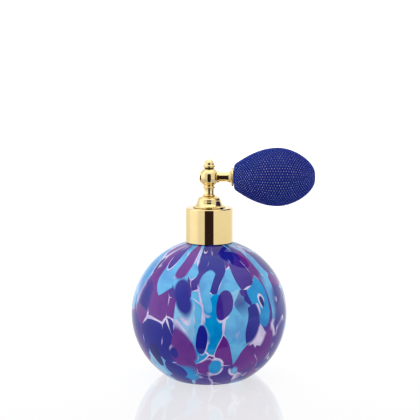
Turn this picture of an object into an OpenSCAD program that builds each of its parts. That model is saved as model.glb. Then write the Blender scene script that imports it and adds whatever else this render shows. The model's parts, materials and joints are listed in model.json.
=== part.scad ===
// Perfume atomiser: a globe of cased art glass, a screwed gilt collar, a turned spray head
// and a rubber squeeze bulb in a knitted net. Millimetres.
// The origin is the centre of the flat base. +Z is up and +X points to the bulb.

/* [Glass bottle] */
// Width of the glass globe
glass_d = 81; // [72:0.5:96]
// How far the centre of the round side lies from the axis, which flattens the globe
glass_flat = 2; // [0.6:0.1:3]
// Radius of the flat base
foot_flat_r = 21.2; // [16:0.2:24]
// Rounding between the base and the side
foot_round = 2; // [1:0.1:4]
// Radius of the ground hollow in the middle of the base
pontil_r = 11; // [6:0.5:13]
// Depth of that hollow
pontil_depth = 0.8; // [0.4:0.1:1.2]
// Thickness of the side wall
glass_wall = 3.2; // [2:0.1:4.5]
// Thickness of the glass floor
glass_floor = 6.5; // [4:0.5:9]
// Rounding inside, between the floor and the side
floor_round = 8; // [5:0.5:12]

/* [Glass neck] */
// Outer diameter of the neck
neck_d = 16.4; // [15.6:0.1:20]
// Wall of the neck
neck_wall = 2.2; // [1.5:0.1:2.6]
// Height of the neck above the shoulder's rounding
neck_h = 11.5; // [10.6:0.1:16]
// Rounding between the shoulder and the neck
neck_round = 1.5; // [1:0.1:2]

/* [Screw thread] */
// Wall of the threaded ring that is cemented on the neck
ring_wall = 1.15; // [0.8:0.05:1.6]
// Cement film between the glass and the ring
cement_gap = 0.05; // [0.02:0.01:0.1]
// Rise of the thread in one turn
thread_pitch = 3; // [2.6:0.1:3.4]
// Height of the thread ridge
thread_depth = 0.75; // [0.5:0.05:0.9]
// Width of the ridge at its crest
thread_crest = 0.5; // [0.4:0.05:0.7]
// Width of the ridge at its root
thread_root = 1.2; // [0.9:0.05:1.3]
// Turns of the ridge on the ring
ring_turns = 1.25; // [1:0.25:1.5]
// Turns of the ridge in the liner
liner_turns = 1; // [0.75:0.25:1.25]
// Radial clearance from each crest to the root that it faces
thread_gap = 0.15; // [0.12:0.01:0.25]

/* [Collar] */
// Wall of the plastic liner
liner_wall = 1.4; // [1:0.1:2]
// Thickness of the liner's roof
liner_roof = 1.15; // [0.8:0.05:1.6]
// Wall of the metal sleeve
shell_wall = 0.5; // [0.4:0.05:0.8]
// Clearance between the liner and the sleeve
shell_gap = 0.05; // [0.03:0.01:0.08]
// Rounding of the sleeve's upper edge
shell_round = 0.7; // [0.4:0.1:1]
// Clearance between the collar and the glass shoulder
shoulder_gap = 0.3; // [0.2:0.05:0.6]

/* [Mouth of the bottle] */
// Thickness of the gasket on the rim
gasket_t = 1.2; // [0.8:0.1:2]
// Thickness of the plug's flange
flange_t = 1.6; // [1.2:0.1:2.4]
// How deep the plug reaches into the neck
plug_depth = 3.8; // [2.5:0.1:5]
// Radial clearance of the plug in the neck
plug_gap = 0.15; // [0.1:0.01:0.3]
// Diameter of the plug's stem, which passes through the collar
stem_d = 9.2; // [8:0.1:10]
// Height of the stem above the flange
stem_h = 4.2; // [3.8:0.1:5]
// Diameter of the vent that lets air back into the bottle
vent_d = 0.8; // [0.6:0.1:1.2]
// Axial clearance on each side of the collar's roof, so that the collar turns freely
swivel_gap = 0.1; // [0.05:0.01:0.2]
// Radial clearance between the collar's hole and the stem
stem_gap = 0.3; // [0.2:0.05:0.5]

/* [Tubes] */
// Outer diameter of the dip tube
dip_d = 2.6; // [2.2:0.1:3]
// Bore of the dip tube
dip_bore = 1.4; // [1:0.1:1.6]
// Gap between the end of the dip tube and the glass floor
dip_gap = 1.5; // [1:0.1:4]
// Outer diameter of the riser
riser_d = 1.6; // [1.4:0.1:2]
// Bore of the riser
riser_bore = 0.8; // [0.6:0.1:1]
// Outer diameter of the liquid jet
jet_d = 0.9; // [0.8:0.05:1.1]
// Bore of the liquid jet
jet_bore = 0.4; // [0.3:0.05:0.5]
// Clearance between pieces that are pushed or soldered together
fit_gap = 0.05; // [0.02:0.01:0.08]

/* [Spray head] */
// Diameter of the bell foot
foot_d = 16.8; // [15:0.1:19]
// Height of the foot's lower bell
bell_h = 3.4; // [2.8:0.1:4.2]
// Height of the foot's upper tier with its bead
tier_h = 3.2; // [3:0.1:4]
// Diameter of the column's waist
waist_d = 5.2; // [4.9:0.1:6]
// Height of the column between the foot and the ball's bead
waist_h = 3.1; // [2:0.1:4]
// Diameter of the beads on the column
bead_d = 6.6; // [6.2:0.1:7.4]
// Height of each bead
bead_h = 0.9; // [0.6:0.1:1.2]
// Diameter of the ball
ball_d = 10; // [9:0.1:11.4]
// Height from the upper bead to the centre of the ball
ball_rise = 5.7; // [5.2:0.1:6.8]
// Diameter of the spray chamber inside the ball
chamber_d = 3.8; // [3.4:0.1:4]
// Diameter of the spray nozzle
nozzle_d = 4.6; // [4.2:0.1:5]
// Thickness of the spray nozzle
nozzle_t = 1; // [0.8:0.1:1.3]
// Diameter of the spray hole
spray_d = 0.7; // [0.5:0.1:1]
// Distance from the axis to the nozzle's face
nozzle_reach = 4.95; // [4.6:0.05:5.4]

/* [Finial] */
// Diameter of the finial's ring
finial_d = 6.4; // [6:0.1:7]
// Height of the finial's ring
finial_ring_h = 1.5; // [1.2:0.1:1.8]
// Diameter of the finial's dome
dome_d = 5.3; // [4.8:0.1:5.8]
// Height of the dome
dome_h = 2.9; // [2.4:0.1:4]
// Diameter of the finial's shank
shank_d = 3.2; // [2.8:0.1:3.6]
// Length of the shank
shank_h = 1.8; // [1.4:0.1:2]
// Thickness of the seal under the finial
seal_t = 0.4; // [0.3:0.05:0.6]

/* [Arm] */
// Outer diameter of the air tube
arm_d = 4.7; // [4.4:0.1:5.2]
// Bore of the air tube
arm_bore = 3.3; // [2.8:0.1:3.6]
// Distance from the axis to the ferrule's back face, where the bulb begins
arm_reach = 12.4; // [12:0.1:24]
// Diameter of the boss that holds the arm
boss_d = 6; // [5.8:0.1:6.6]
// Distance from the axis to the boss's face
boss_reach = 5; // [4.8:0.1:5.6]
// Diameter of the ferrule's disc
ferrule_d = 9.8; // [9:0.1:12]
// Thickness of the ferrule's disc
ferrule_t = 1.1; // [0.8:0.1:1.6]
// Length of the trumpet in front of the disc
trumpet_l = 1.9; // [1.4:0.1:3]

/* [Bulb] */
// Length of the bulb with its net
bulb_l = 41.8; // [38:0.1:56]
// Largest diameter of the bulb with its net
bulb_d = 30; // [27:0.1:38]
// Distance from the ferrule to the widest place of the bulb
bulb_front = 22.6; // [20:0.1:30]
// Thickness of the knitted net
net_t = 0.45; // [0.35:0.05:0.6]
// Clearance between the net and the rubber
net_gap = 0.15; // [0.1:0.01:0.25]
// Wall of the rubber
rubber_wall = 1.8; // [1.4:0.1:2.4]
// Radius of the round cord at each end of the net
net_cord_r = 0.35; // [0.25:0.05:0.4]

/* [Valves] */
// Diameter of the valve balls
valve_ball_d = 2.4; // [2:0.1:2.6]
// How far a valve ball lifts from its seat
valve_lift = 1; // [0.6:0.1:1.2]
// Diameter of a valve chamber
valve_bore = 3.6; // [3.4:0.1:3.8]
// Diameter of the hole in a valve seat
seat_bore = 1.6; // [1.2:0.1:1.7]
// Thickness of a valve seat
seat_t = 1.2; // [0.8:0.1:1.5]
// Thickness of the perforated stops
stop_t = 0.7; // [0.5:0.1:1]
// Clearance between a closed ball and its seat
seat_gap = 0.02; // [0.01:0.01:0.04]
// Diameter of the spigot's shank
spigot_d = 5.2; // [5:0.1:5.6]
// Diameter of the spigot's barbs
barb_d = 6; // [5.8:0.1:6.4]
// Length of the spigot past the ferrule
spigot_l = 10.2; // [9.5:0.1:12]

/* [Hidden] */

$fn = 96;
// More than any clearance, so that a cut goes right through
cut = 1;
// Chamfer on the ends of turned pieces
chamfer = 0.3;
// Gap between the ends of two pieces that follow each other
end_gap = 0.1;

// Glass globe
side_r = glass_d / 2 - glass_flat;
foot_arc_r = side_r - foot_round;
foot_arc_x = foot_flat_r - glass_flat;
globe_z = foot_round + sqrt(pow(foot_arc_r, 2) - pow(foot_arc_x, 2));
foot_arc_a = -acos(foot_arc_x / foot_arc_r);
inner_r = side_r - glass_wall;
floor_arc_r = inner_r - floor_round;
floor_arc_a = asin((glass_floor + floor_round - globe_z) / floor_arc_r);
floor_arc_x = glass_flat + floor_arc_r * cos(floor_arc_a);
pontil_arc_r = (pow(pontil_r, 2) + pow(pontil_depth, 2)) / (2 * pontil_depth);
pontil_arc_a = asin(pontil_r / pontil_arc_r);

// Neck
neck_r = neck_d / 2;
neck_bore_r = neck_r - neck_wall;
neck_arc_x = neck_r + neck_round - glass_flat;
neck_arc_a = acos(neck_arc_x / (side_r + neck_round));
neck_base_z = globe_z + (side_r + neck_round) * sin(neck_arc_a);
rim_z = neck_base_z + neck_h;
// Roundings of the rim and, inside, between the neck and the side
rim_round = 0.8;
inside_round = 3;
inside_arc_x = neck_bore_r + inside_round - glass_flat;
inside_arc_a = acos(inside_arc_x / (inner_r + inside_round));
inside_arc_z = globe_z + (inner_r + inside_round) * sin(inside_arc_a);

// Thread
ring_bore_r = neck_r + cement_gap;
ring_r = ring_bore_r + ring_wall;
ring_crest_r = ring_r + thread_depth;
ring_z0 = neck_base_z + chamfer;
ring_z1 = rim_z - chamfer;
// Plain stretch of the ring above its ridge
ring_plain_h = 1.4;
ridge_top_z = ring_z1 - ring_plain_h;
// How deep the root of a ridge is sunk into its wall
ridge_sink = 0.4;
ridge_low_z = ridge_top_z - ring_turns * thread_pitch;
liner_bore_r = ring_crest_r + thread_gap;
liner_crest_r = ring_r + thread_gap;
liner_ridge_z = ridge_low_z - thread_pitch / 2;

// Collar
liner_r = liner_bore_r + liner_wall;
shell_bore_r = liner_r + shell_gap;
shell_r = shell_bore_r + shell_wall;
flange_z0 = rim_z + gasket_t;
flange_z1 = flange_z0 + flange_t;
roof_z0 = flange_z1 + swivel_gap;
roof_z1 = roof_z0 + liner_roof;
collar_z1 = roof_z1 + shell_gap + shell_wall;
shell_z0 = glass_height(shell_bore_r) + shoulder_gap;
liner_z0 = glass_height(liner_bore_r) + shoulder_gap;
stem_r = stem_d / 2;
collar_hole_r = stem_r + stem_gap;
stem_z1 = flange_z1 + stem_h;
gasket_r = ring_r - chamfer;
plug_r = neck_bore_r - plug_gap;
plug_z0 = rim_z - plug_depth;
vent_x = (stem_r + riser_d) / 2;

// Tubes
dip_r = dip_d / 2;
// Height of the dip tube's socket above the flange's lower face
socket_rise = 0.5;
socket_z1 = flange_z0 + socket_rise;
dip_z0 = glass_floor + dip_gap;
dip_z1 = socket_z1 - end_gap;
riser_r = riser_d / 2;
riser_z0 = socket_z1 + 2 * end_gap;

// Head
foot_z0 = collar_z1 + swivel_gap;
bell_z1 = foot_z0 + bell_h;
tier_z1 = bell_z1 + tier_h;
foot_r = foot_d / 2;
foot_pocket_z1 = stem_z1 + end_gap;
bead_r = bead_d / 2;
waist_r = waist_d / 2;
// Shoulder of the column on the foot, and how far its tenon stays off the stem's pocket
tenon_shoulder = 0.5;
tenon_clear = 0.7;
tenon_r = waist_r - tenon_shoulder;
tenon_z0 = foot_pocket_z1 + tenon_clear;
ball_bead_z = tier_z1 + waist_h;
arm_z = ball_bead_z + ball_rise;
ball_r = ball_d / 2;
chamber_r = chamber_d / 2;
nozzle_r = nozzle_d / 2;
// Wall of the boss around the nozzle, and how far the nozzle stands out of it
nozzle_boss_wall = 0.5;
nozzle_proud = 0.3;
nozzle_boss_r = nozzle_r + nozzle_boss_wall;
nozzle_boss_x = nozzle_reach - nozzle_proud;
// Film between the back of the nozzle and its seat
nozzle_film = 0.02;
chamber_x0 = nozzle_t + nozzle_film - nozzle_reach;
riser_z1 = arm_z + riser_d / 2 + end_gap;
jet_reach = nozzle_reach - nozzle_t - nozzle_proud;

// Finial
dome_r = dome_d / 2;
finial_r = finial_d / 2;
// How far the finial's ring stands out past the flat on top of the ball
finial_overhang = 0.8;
ball_top_r = finial_r - finial_overhang;
ball_top_z = arm_z + sqrt(pow(ball_r, 2) - pow(ball_top_r, 2));
finial_z0 = ball_top_z + seal_t;
finial_z1 = finial_z0 + finial_ring_h;
shank_r = shank_d / 2;

// Arm
arm_r = arm_d / 2;
// Wall left between the chamber and the arm's seat
arm_stop = 0.7;
// How deep the spigot's root reaches into the ferrule
spigot_root_l = 1.3;
arm_x0 = chamber_r + arm_stop;
spigot_x0 = arm_reach - spigot_root_l;
arm_x1 = spigot_x0 - end_gap;
ferrule_r = ferrule_d / 2;
disc_x0 = arm_reach - ferrule_t;
trumpet_x0 = disc_x0 - trumpet_l;
spigot_x1 = arm_reach + spigot_l;

// Bulb
bulb_x0 = arm_reach + 0.05;
bulb_x1 = bulb_x0 + bulb_l;
bulb_r = bulb_d / 2;
bulb_wide_x = bulb_x0 + bulb_front;
neck_end_r = ferrule_r;
// Radius of the net's end at the tail
tail_end_r = 2.2;
rubber_inset = net_t + net_gap;
barb_r = barb_d / 2;
rubber_bore_r = barb_r + fit_gap;
spigot_r = spigot_d / 2;
rubber_x0 = bulb_x0 + 2 * net_cord_r + net_gap;
rubber_x1 = bulb_x1 - rubber_inset - net_gap;
// Length of the rubber neck on the spigot
rubber_neck_l = 6.5;
cavity_x0 = bulb_x0 + rubber_neck_l;

// Valves
valve_r = valve_bore / 2;
ball_valve_r = valve_ball_d / 2;
ball_to_seat = sqrt(pow(ball_valve_r, 2) - pow(seat_bore / 2, 2)) + seat_gap;
outlet_seat_x = spigot_x1 - seat_t;
outlet_ball_x = outlet_seat_x - ball_to_seat;
outlet_stop_x = outlet_ball_x - ball_valve_r - valve_lift - fit_gap;
// Wall of the tail valve around its chamber
tail_wall = 0.8;
tail_r = valve_r + tail_wall;
tail_x1 = rubber_x1 - end_gap;
tail_seat_x = tail_x1 - seat_t;
tail_ball_x = tail_seat_x - ball_to_seat;
tail_cage_x = tail_ball_x - ball_valve_r - valve_lift - fit_gap;
tail_x0 = tail_cage_x - stop_t - chamfer;
// The rubber sleeve around the tail valve: its wall, its step and its lip at the back
tail_sleeve_wall = 1.4;
tail_sleeve_step = 0.4;
tail_lip = 0.3;
tail_sleeve_r = tail_r + tail_sleeve_wall;
tail_sleeve_x0 = tail_x0 + tail_sleeve_step;

// Height of the outside of the glass shoulder at radius r
function glass_height(r) = globe_z + sqrt(pow(side_r, 2) - pow(r - glass_flat, 2));

// Points along an arc about (x, y), from angle a0 to a1
function arc(x, y, r, a0, a1, n = 8) =
    [for (i = [0:n]) let (a = a0 + (a1 - a0) * i / n) [x + r * cos(a), y + r * sin(a)]];

// Points along a cubic curve, without its first point
function curve(p0, p1, p2, p3, n = 8) =
    [for (i = [1:n]) let (t = i / n, s = 1 - t)
        s * s * s * p0 + 3 * s * s * t * p1 + 3 * s * t * t * p2 + t * t * t * p3];

// A line of points moved sideways by d, to the right of its direction
function inset(p, d) =
    [for (i = [0:len(p) - 1])
        let (
            a = p[max(i - 1, 0)],
            b = p[min(i + 1, len(p) - 1)],
            u = (b - a) / norm(b - a)
        )
        p[i] + d * [u[1], -u[0]]];

// Turned about Z, from points [radius, height]
module turned(points) {
    rotate_extrude()
        polygon(points);
}

// Turned about the arm's axis, from points [distance along X, radius]
module turned_x(points, angle = 360, from = 0) {
    translate([0, 0, arm_z])
        rotate([0, 90, 0])
            rotate([0, 0, from])
                rotate_extrude(angle = angle)
                    polygon([for (p = points) [p[1], p[0]]]);
}

// A cylinder on the arm's axis from x0 to x1
module rod_x(x0, x1, r) {
    translate([x0, 0, arm_z])
        rotate([0, 90, 0])
            cylinder(h = x1 - x0, r = r);
}

// A helical ridge: crest radius r1, root radius r0, and sunk into its wall by sink
module ridge(r0, r1, sink, z0, turns) {
    steps = round(30 * turns);
    fade = 3;
    rings = [for (i = [0:steps])
        let (
            a = 360 * i * turns / steps,
            z = z0 + thread_pitch * i * turns / steps,
            f = min(1, i / fade, (steps - i) / fade),
            crest = r0 + (r1 - r0) * max(f, 0.15),
            hc = thread_crest / 2 * max(f, 0.4),
            hr = thread_root / 2 * max(f, 0.5)
        )
        each [for (p = [[r0 - sink, -hr], [crest, -hc], [crest, hc], [r0 - sink, hr]])
            [p[0] * cos(a), p[0] * sin(a), z + p[1]]]];
    sides = [for (i = [0:steps - 1], j = [0:3])
        let (a = 4 * i + j, b = 4 * i + (j + 1) % 4)
        each [[a, b + 4, b], [a, a + 4, b + 4]]];
    last = 4 * steps;
    ends = [[0, 1, 2], [0, 2, 3], [last, last + 2, last + 1], [last, last + 3, last + 2]];
    faces = concat(sides, ends);
    // A ridge that points inwards is mirrored, so its faces turn round
    polyhedron(rings, r1 < r0 ? faces : [for (f = faces) [f[0], f[2], f[1]]]);
}

module bottle() {
    outside = concat(
        arc(0, pontil_depth - pontil_arc_r, pontil_arc_r, 90, 90 - pontil_arc_a, 6),
        arc(foot_flat_r, foot_round, foot_round, -90, foot_arc_a, 6),
        arc(glass_flat, globe_z, side_r, foot_arc_a, neck_arc_a, 40),
        arc(neck_r + neck_round, neck_base_z, neck_round, 180 + neck_arc_a, 180, 6),
        arc(neck_r - rim_round, rim_z - rim_round, rim_round, 0, 90, 4)
    );
    inside = concat(
        arc(neck_bore_r + rim_round, rim_z - rim_round, rim_round, 90, 180, 4),
        arc(neck_bore_r + inside_round, inside_arc_z, inside_round, 180, 180 + inside_arc_a, 6),
        arc(glass_flat, globe_z, inner_r, inside_arc_a, floor_arc_a, 36),
        arc(floor_arc_x, glass_floor + floor_round, floor_round, floor_arc_a, -90, 8),
        [[0, glass_floor]]
    );
    color([0.35, 0.28, 0.72, 0.75])
        turned(concat(outside, inside));
}

module neck_ring() {
    color("goldenrod")
        union() {
            turned([
                [ring_bore_r, ring_z0], [ring_r, ring_z0],
                [ring_r, ring_z1], [ring_bore_r, ring_z1]
            ]);
            ridge(ring_r, ring_crest_r, ridge_sink, ridge_low_z, ring_turns);
        }
}

module neck_gasket() {
    color("dimgray")
        difference() {
            translate([0, 0, rim_z])
                cylinder(h = gasket_t, r = gasket_r);
            translate([0, 0, rim_z - cut])
                cylinder(h = gasket_t + 2 * cut, r = plug_r + fit_gap);
        }
}

module collar_shell() {
    bottom_round = 0.15;
    color("gold")
        turned(concat(
            [[shell_bore_r, shell_z0 + bottom_round], [shell_bore_r + bottom_round, shell_z0]],
            arc(shell_r - bottom_round, shell_z0 + bottom_round, bottom_round, -90, 0, 3),
            arc(shell_r - shell_round, collar_z1 - shell_round, shell_round, 0, 90, 6),
            [
                [collar_hole_r, collar_z1],
                [collar_hole_r, collar_z1 - shell_wall],
                [shell_bore_r, collar_z1 - shell_wall]
            ]
        ));
}

module collar_liner() {
    edge = 0.4;
    color("ivory")
        union() {
            turned([
                [liner_bore_r, liner_z0], [liner_r, liner_z0], [liner_r, roof_z1 - edge],
                [liner_r - edge, roof_z1], [collar_hole_r, roof_z1],
                [collar_hole_r, roof_z0], [liner_bore_r, roof_z0]
            ]);
            ridge(liner_bore_r, liner_crest_r, -ridge_sink, liner_ridge_z, liner_turns);
        }
}

module neck_plug() {
    lead_in = 0.5;
    color("whitesmoke")
        difference() {
            turned([
                [0, plug_z0], [plug_r - lead_in, plug_z0], [plug_r, plug_z0 + lead_in],
                [plug_r, flange_z0], [gasket_r, flange_z0], [gasket_r, flange_z1],
                [stem_r, flange_z1], [stem_r, stem_z1 - chamfer], [stem_r - chamfer, stem_z1],
                [0, stem_z1]
            ]);
            translate([0, 0, plug_z0 - cut])
                cylinder(h = socket_z1 - plug_z0 + cut, r = dip_r + fit_gap / 2);
            translate([0, 0, socket_z1 - cut])
                cylinder(h = stem_z1 - socket_z1 + 2 * cut, r = riser_r + fit_gap / 2);
            translate([-vent_x, 0, plug_z0 - cut])
                cylinder(h = stem_z1 - plug_z0 + 2 * cut, r = vent_d / 2);
        }
}

module head_foot() {
    lip_h = 0.45;
    lip_edge = 0.1;
    step_h = 0.3;
    bell_top = [foot_r - 2.2, bell_z1 - step_h];
    tier_low = [bell_top[0] - 0.15, bell_z1 + step_h];
    tier_top = [waist_r + 0.35, tier_z1 - bead_h];
    lip_top = [foot_r, foot_z0 + lip_h];
    bead_mid = bead_r - bead_h / 2;
    outline = concat(
        [[foot_r - lip_edge, foot_z0], [foot_r, foot_z0 + lip_edge], lip_top],
        curve(lip_top, lip_top + [-0.9, 0.35], bell_top + [0.3, -1.5], bell_top, 8),
        [[tier_low[0], bell_z1], tier_low],
        curve(tier_low, tier_low + [0, 1.1], tier_top + [1.9, -0.1], tier_top, 8),
        arc(bead_mid, tier_z1 - bead_h / 2, bead_h / 2, -80, 80, 8),
        [[waist_r, tier_z1], [0, tier_z1]]
    );
    color("gold")
        difference() {
            turned(concat([[0, foot_z0]], outline));
            translate([0, 0, foot_z0 - cut])
                cylinder(h = foot_pocket_z1 - foot_z0 + cut, r = stem_r + fit_gap);
            translate([0, 0, foot_pocket_z1 - cut])
                cylinder(h = tier_z1 - foot_pocket_z1 + 2 * cut, r = tenon_r + fit_gap);
        }
}

module head_body() {
    bead_mid = bead_r - bead_h / 2;
    hollow = 0.12;
    ball_low_a = -acos(waist_r / ball_r);
    ball_high_a = acos(ball_top_r / ball_r);
    color("gold")
        difference() {
            union() {
                turned(concat(
                    [[0, tenon_z0], [tenon_r, tenon_z0], [tenon_r, tier_z1], [waist_r, tier_z1]],
                    curve(
                        [waist_r, tier_z1], [waist_r - hollow, tier_z1 + waist_h / 3],
                        [waist_r - hollow, tier_z1 + waist_h * 2 / 3], [waist_r, ball_bead_z], 8
                    ),
                    arc(bead_mid, ball_bead_z + bead_h / 2, bead_h / 2, -80, 80, 8),
                    arc(0, arm_z, ball_r, ball_low_a, ball_high_a, 28),
                    [[0, ball_top_z]]
                ));
                rod_x(-nozzle_boss_x, 0, nozzle_boss_r);
                rod_x(0, boss_reach, boss_d / 2);
            }
            rod_x(chamber_x0, arm_x0 + cut, chamber_r);
            rod_x(-nozzle_reach - cut, chamber_x0, nozzle_r + fit_gap / 2);
            rod_x(arm_x0, boss_reach + cut, arm_r + fit_gap / 2);
            translate([0, 0, tenon_z0 - cut])
                cylinder(h = arm_z - tenon_z0 + cut, r = riser_r + fit_gap / 2);
            translate([0, 0, arm_z])
                cylinder(h = ball_r + cut, r = shank_r + fit_gap);
        }
}

module riser_tube() {
    color("silver")
        difference() {
            translate([0, 0, riser_z0])
                cylinder(h = riser_z1 - riser_z0, r = riser_r);
            translate([0, 0, riser_z0 - cut])
                cylinder(h = arm_z + jet_bore - riser_z0 + cut, r = riser_bore / 2);
            rod_x(-riser_r - cut, 0, jet_d / 2 + fit_gap / 2);
        }
}

module liquid_jet() {
    color("silver")
        difference() {
            rod_x(-jet_reach, -riser_bore / 2, jet_d / 2);
            rod_x(-jet_reach - cut, cut, jet_bore / 2);
        }
}

module spray_nozzle() {
    face = -nozzle_reach;
    back = face + nozzle_t;
    hole_r = spray_d / 2;
    dimple = 0.35;
    edge = 0.2;
    color("gold")
        turned_x([
            [face + dimple, hole_r], [face, hole_r + 0.5], [face, nozzle_r - edge],
            [face + edge, nozzle_r], [back, nozzle_r], [back, hole_r + 2 * chamfer],
            [back - chamfer, hole_r]
        ]);
}

module finial() {
    edge = 0.2;
    ring_half = finial_ring_h / 2;
    dome_sink = 0.1;
    dome_step = 9;
    color("gold")
        turned(concat(
            [[0, finial_z0 - shank_h], [shank_r - edge, finial_z0 - shank_h]],
            [[shank_r, finial_z0 - shank_h + edge], [shank_r, finial_z0]],
            [[ball_top_r + edge, finial_z0]],
            arc(finial_r - ring_half, finial_z0 + ring_half, ring_half, -75, 75, 8),
            [for (a = [0:dome_step:90]) [dome_r * cos(a), finial_z1 - dome_sink + dome_h * sin(a)]]
        ));
}

module finial_seal() {
    color("dimgray")
        difference() {
            translate([0, 0, ball_top_z])
                cylinder(h = seal_t, r = ball_top_r);
            translate([0, 0, ball_top_z - cut])
                cylinder(h = seal_t + 2 * cut, r = shank_r + fit_gap);
        }
}

module dip_tube() {
    bevel = 30;
    color([0.9, 0.92, 0.95, 0.6])
        difference() {
            translate([0, 0, dip_z0])
                cylinder(h = dip_z1 - dip_z0, r = dip_r);
            translate([0, 0, dip_z0 - cut])
                cylinder(h = dip_z1 - dip_z0 + 2 * cut, r = dip_bore / 2);
            translate([dip_r, 0, dip_z0])
                rotate([0, bevel, 0])
                    translate([-dip_d, -dip_d, -2 * dip_d])
                        cube([4 * dip_d, 2 * dip_d, 2 * dip_d]);
        }
}

module arm_tube() {
    color("gold")
        difference() {
            rod_x(arm_x0 + 0.05, arm_x1, arm_r);
            rod_x(arm_x0 - cut, arm_x1 + cut, arm_bore / 2);
        }
}

module bulb_ferrule() {
    bore_r = arm_r + fit_gap / 2;
    trumpet_wall = 0.35;
    start = [trumpet_x0, arm_r + trumpet_wall];
    flare = [disc_x0, ferrule_r - 1];
    round_r = ferrule_t / 2 - 0.1;
    color("gold")
        turned_x(concat(
            [[arm_reach, bore_r], [trumpet_x0, bore_r], start],
            curve(start, start + [0.7 * trumpet_l, 0.1], [disc_x0 - 0.2, start[1] + 0.5], flare, 8),
            arc(disc_x0 + round_r, ferrule_r - round_r, round_r, 180, 90, 4),
            arc(arm_reach - round_r, ferrule_r - round_r, round_r, 90, 0, 4)
        ));
}

module bulb_spigot() {
    barbs = 3;
    barb_pitch = 2.4;
    barb_l = 2;
    barb_start = arm_reach + 2;
    barb_rise = barb_r - spigot_r;
    bore_step = 0.2;
    color("silver")
        difference() {
            turned_x(concat(
                [[spigot_x0, 0], [spigot_x0, arm_r], [arm_reach, arm_r], [arm_reach, spigot_r]],
                [for (i = [0:barbs - 1], p = [[0, 0], [0, barb_rise], [barb_l, 0]])
                    [barb_start + i * barb_pitch + p[0], spigot_r + p[1]]],
                [[spigot_x1, spigot_r], [spigot_x1, 0]]
            ));
            rod_x(spigot_x0 - cut, spigot_x1, arm_bore / 2 - bore_step);
            rod_x(outlet_stop_x - stop_t, spigot_x1 + cut, valve_r);
        }
}

// A disc with a round hole in its middle
module valve_disc(x0, x1, hole_r) {
    difference() {
        rod_x(x0, x1, valve_r - fit_gap / 2);
        rod_x(x0 - cut, x1 + cut, hole_r);
    }
}

// A disc with three small holes beside its middle, which a ball can't close
module stop_disc(x1) {
    holes = 3;
    hole_d = 0.8;
    hole_ring_r = 1.15;
    difference() {
        rod_x(x1 - stop_t, x1, valve_r - fit_gap / 2);
        for (i = [0:holes - 1])
            translate([x1 - stop_t - cut, 0, arm_z])
                rotate([i * 360 / holes, 0, 0])
                    translate([0, 0, hole_ring_r])
                        rotate([0, 90, 0])
                            cylinder(h = stop_t + 2 * cut, r = hole_d / 2, $fn = 32);
    }
}

module valve_ball(x) {
    translate([x, 0, arm_z])
        sphere(r = ball_valve_r);
}

module outlet_valve_seat() {
    color("white")
        valve_disc(outlet_seat_x, spigot_x1, seat_bore / 2);
}

module outlet_valve_ball() {
    color("silver")
        valve_ball(outlet_ball_x);
}

module outlet_valve_stop() {
    color("white")
        stop_disc(outlet_stop_x);
}

// Outline of the netted bulb, from the ferrule to the tail: [distance along X, radius]
function bulb_outline() =
    let (
        start = [bulb_x0, neck_end_r],
        corner = start + [1.75, 2.6],
        widest = [bulb_wide_x, bulb_r],
        tail = [bulb_x1, tail_end_r],
        front = widest[0] - corner[0],
        back = bulb_x1 - widest[0]
    )
    concat(
        [start],
        curve(start, start + [0, 1.4], corner - [1, 0.65], corner, 4),
        curve(
            corner, corner + [0.19 * front, 0.34 * (bulb_r - corner[1])],
            widest - [0.46 * front, 0], widest, 14
        ),
        curve(
            widest, widest + [0.44 * back, 0],
            [bulb_x1 - 0.03 * back, 0.55 * bulb_r], tail, 14
        )
    );

// Half of the rubber bulb, with the neck bore and the sleeve around the tail valve
module bulb_half(from) {
    outer = inset(bulb_outline(), rubber_inset);
    lip_r = tail_r + tail_lip;
    seat_r = tail_r + fit_gap;
    belly = [bulb_wide_x, bulb_r - rubber_inset - rubber_wall];
    sleeve_end = [rubber_x1 - rubber_wall - 1.2, tail_sleeve_r];
    neck_end = [cavity_x0, rubber_bore_r + 1];
    front = belly[0] - neck_end[0];
    back = sleeve_end[0] - belly[0];
    cavity = concat(
        [[rubber_x1, seat_r], [tail_sleeve_x0, seat_r], [tail_sleeve_x0, tail_sleeve_r], sleeve_end],
        curve(sleeve_end, [sleeve_end[0], 0.62 * belly[1]], belly + [0.45 * back, 0], belly, 10),
        curve(belly, belly - [0.56 * front, 0], neck_end + [1.5, 2.5], neck_end, 10),
        [[cavity_x0 - 1, rubber_bore_r], [rubber_x0, rubber_bore_r]]
    );
    skin = [for (p = outer) if (p[0] > rubber_x0 && p[0] < rubber_x1 && p[1] > lip_r) p];
    color("midnightblue")
        turned_x(
            concat([[rubber_x0, neck_end_r - chamfer]], skin, [[rubber_x1, lip_r]], cavity),
            180, from
        );
}

module bulb_upper() {
    bulb_half(90);
}

module bulb_lower() {
    bulb_half(-90);
}

module net_cover() {
    outer = bulb_outline();
    inner = inset(outer, net_t);
    mouth_r = spigot_r + 2 * net_cord_r + 0.5;
    hole_r = 2.6 * net_cord_r;
    color("mediumblue")
        turned_x(concat(
            outer,
            [[bulb_x1, hole_r], [bulb_x1 - net_t, hole_r]],
            [for (i = [len(inner) - 1:-1:1]) if (inner[i][1] > hole_r) inner[i]],
            [[bulb_x0 + net_t, mouth_r], [bulb_x0, mouth_r]]
        ));
}

// A ring of round cord about the arm's axis
module cord_ring(x, r) {
    turned_x([for (p = arc(0, 0, net_cord_r, 0, 345, 23)) [x + p[0], r + p[1]]]);
}

module net_neck_cord() {
    color("navy")
        cord_ring(bulb_x0 + net_cord_r, spigot_r + net_cord_r + 0.2);
}

module net_tail_cord() {
    color("navy")
        cord_ring(bulb_x1 - net_cord_r, 1.45 * net_cord_r);
}

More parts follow.
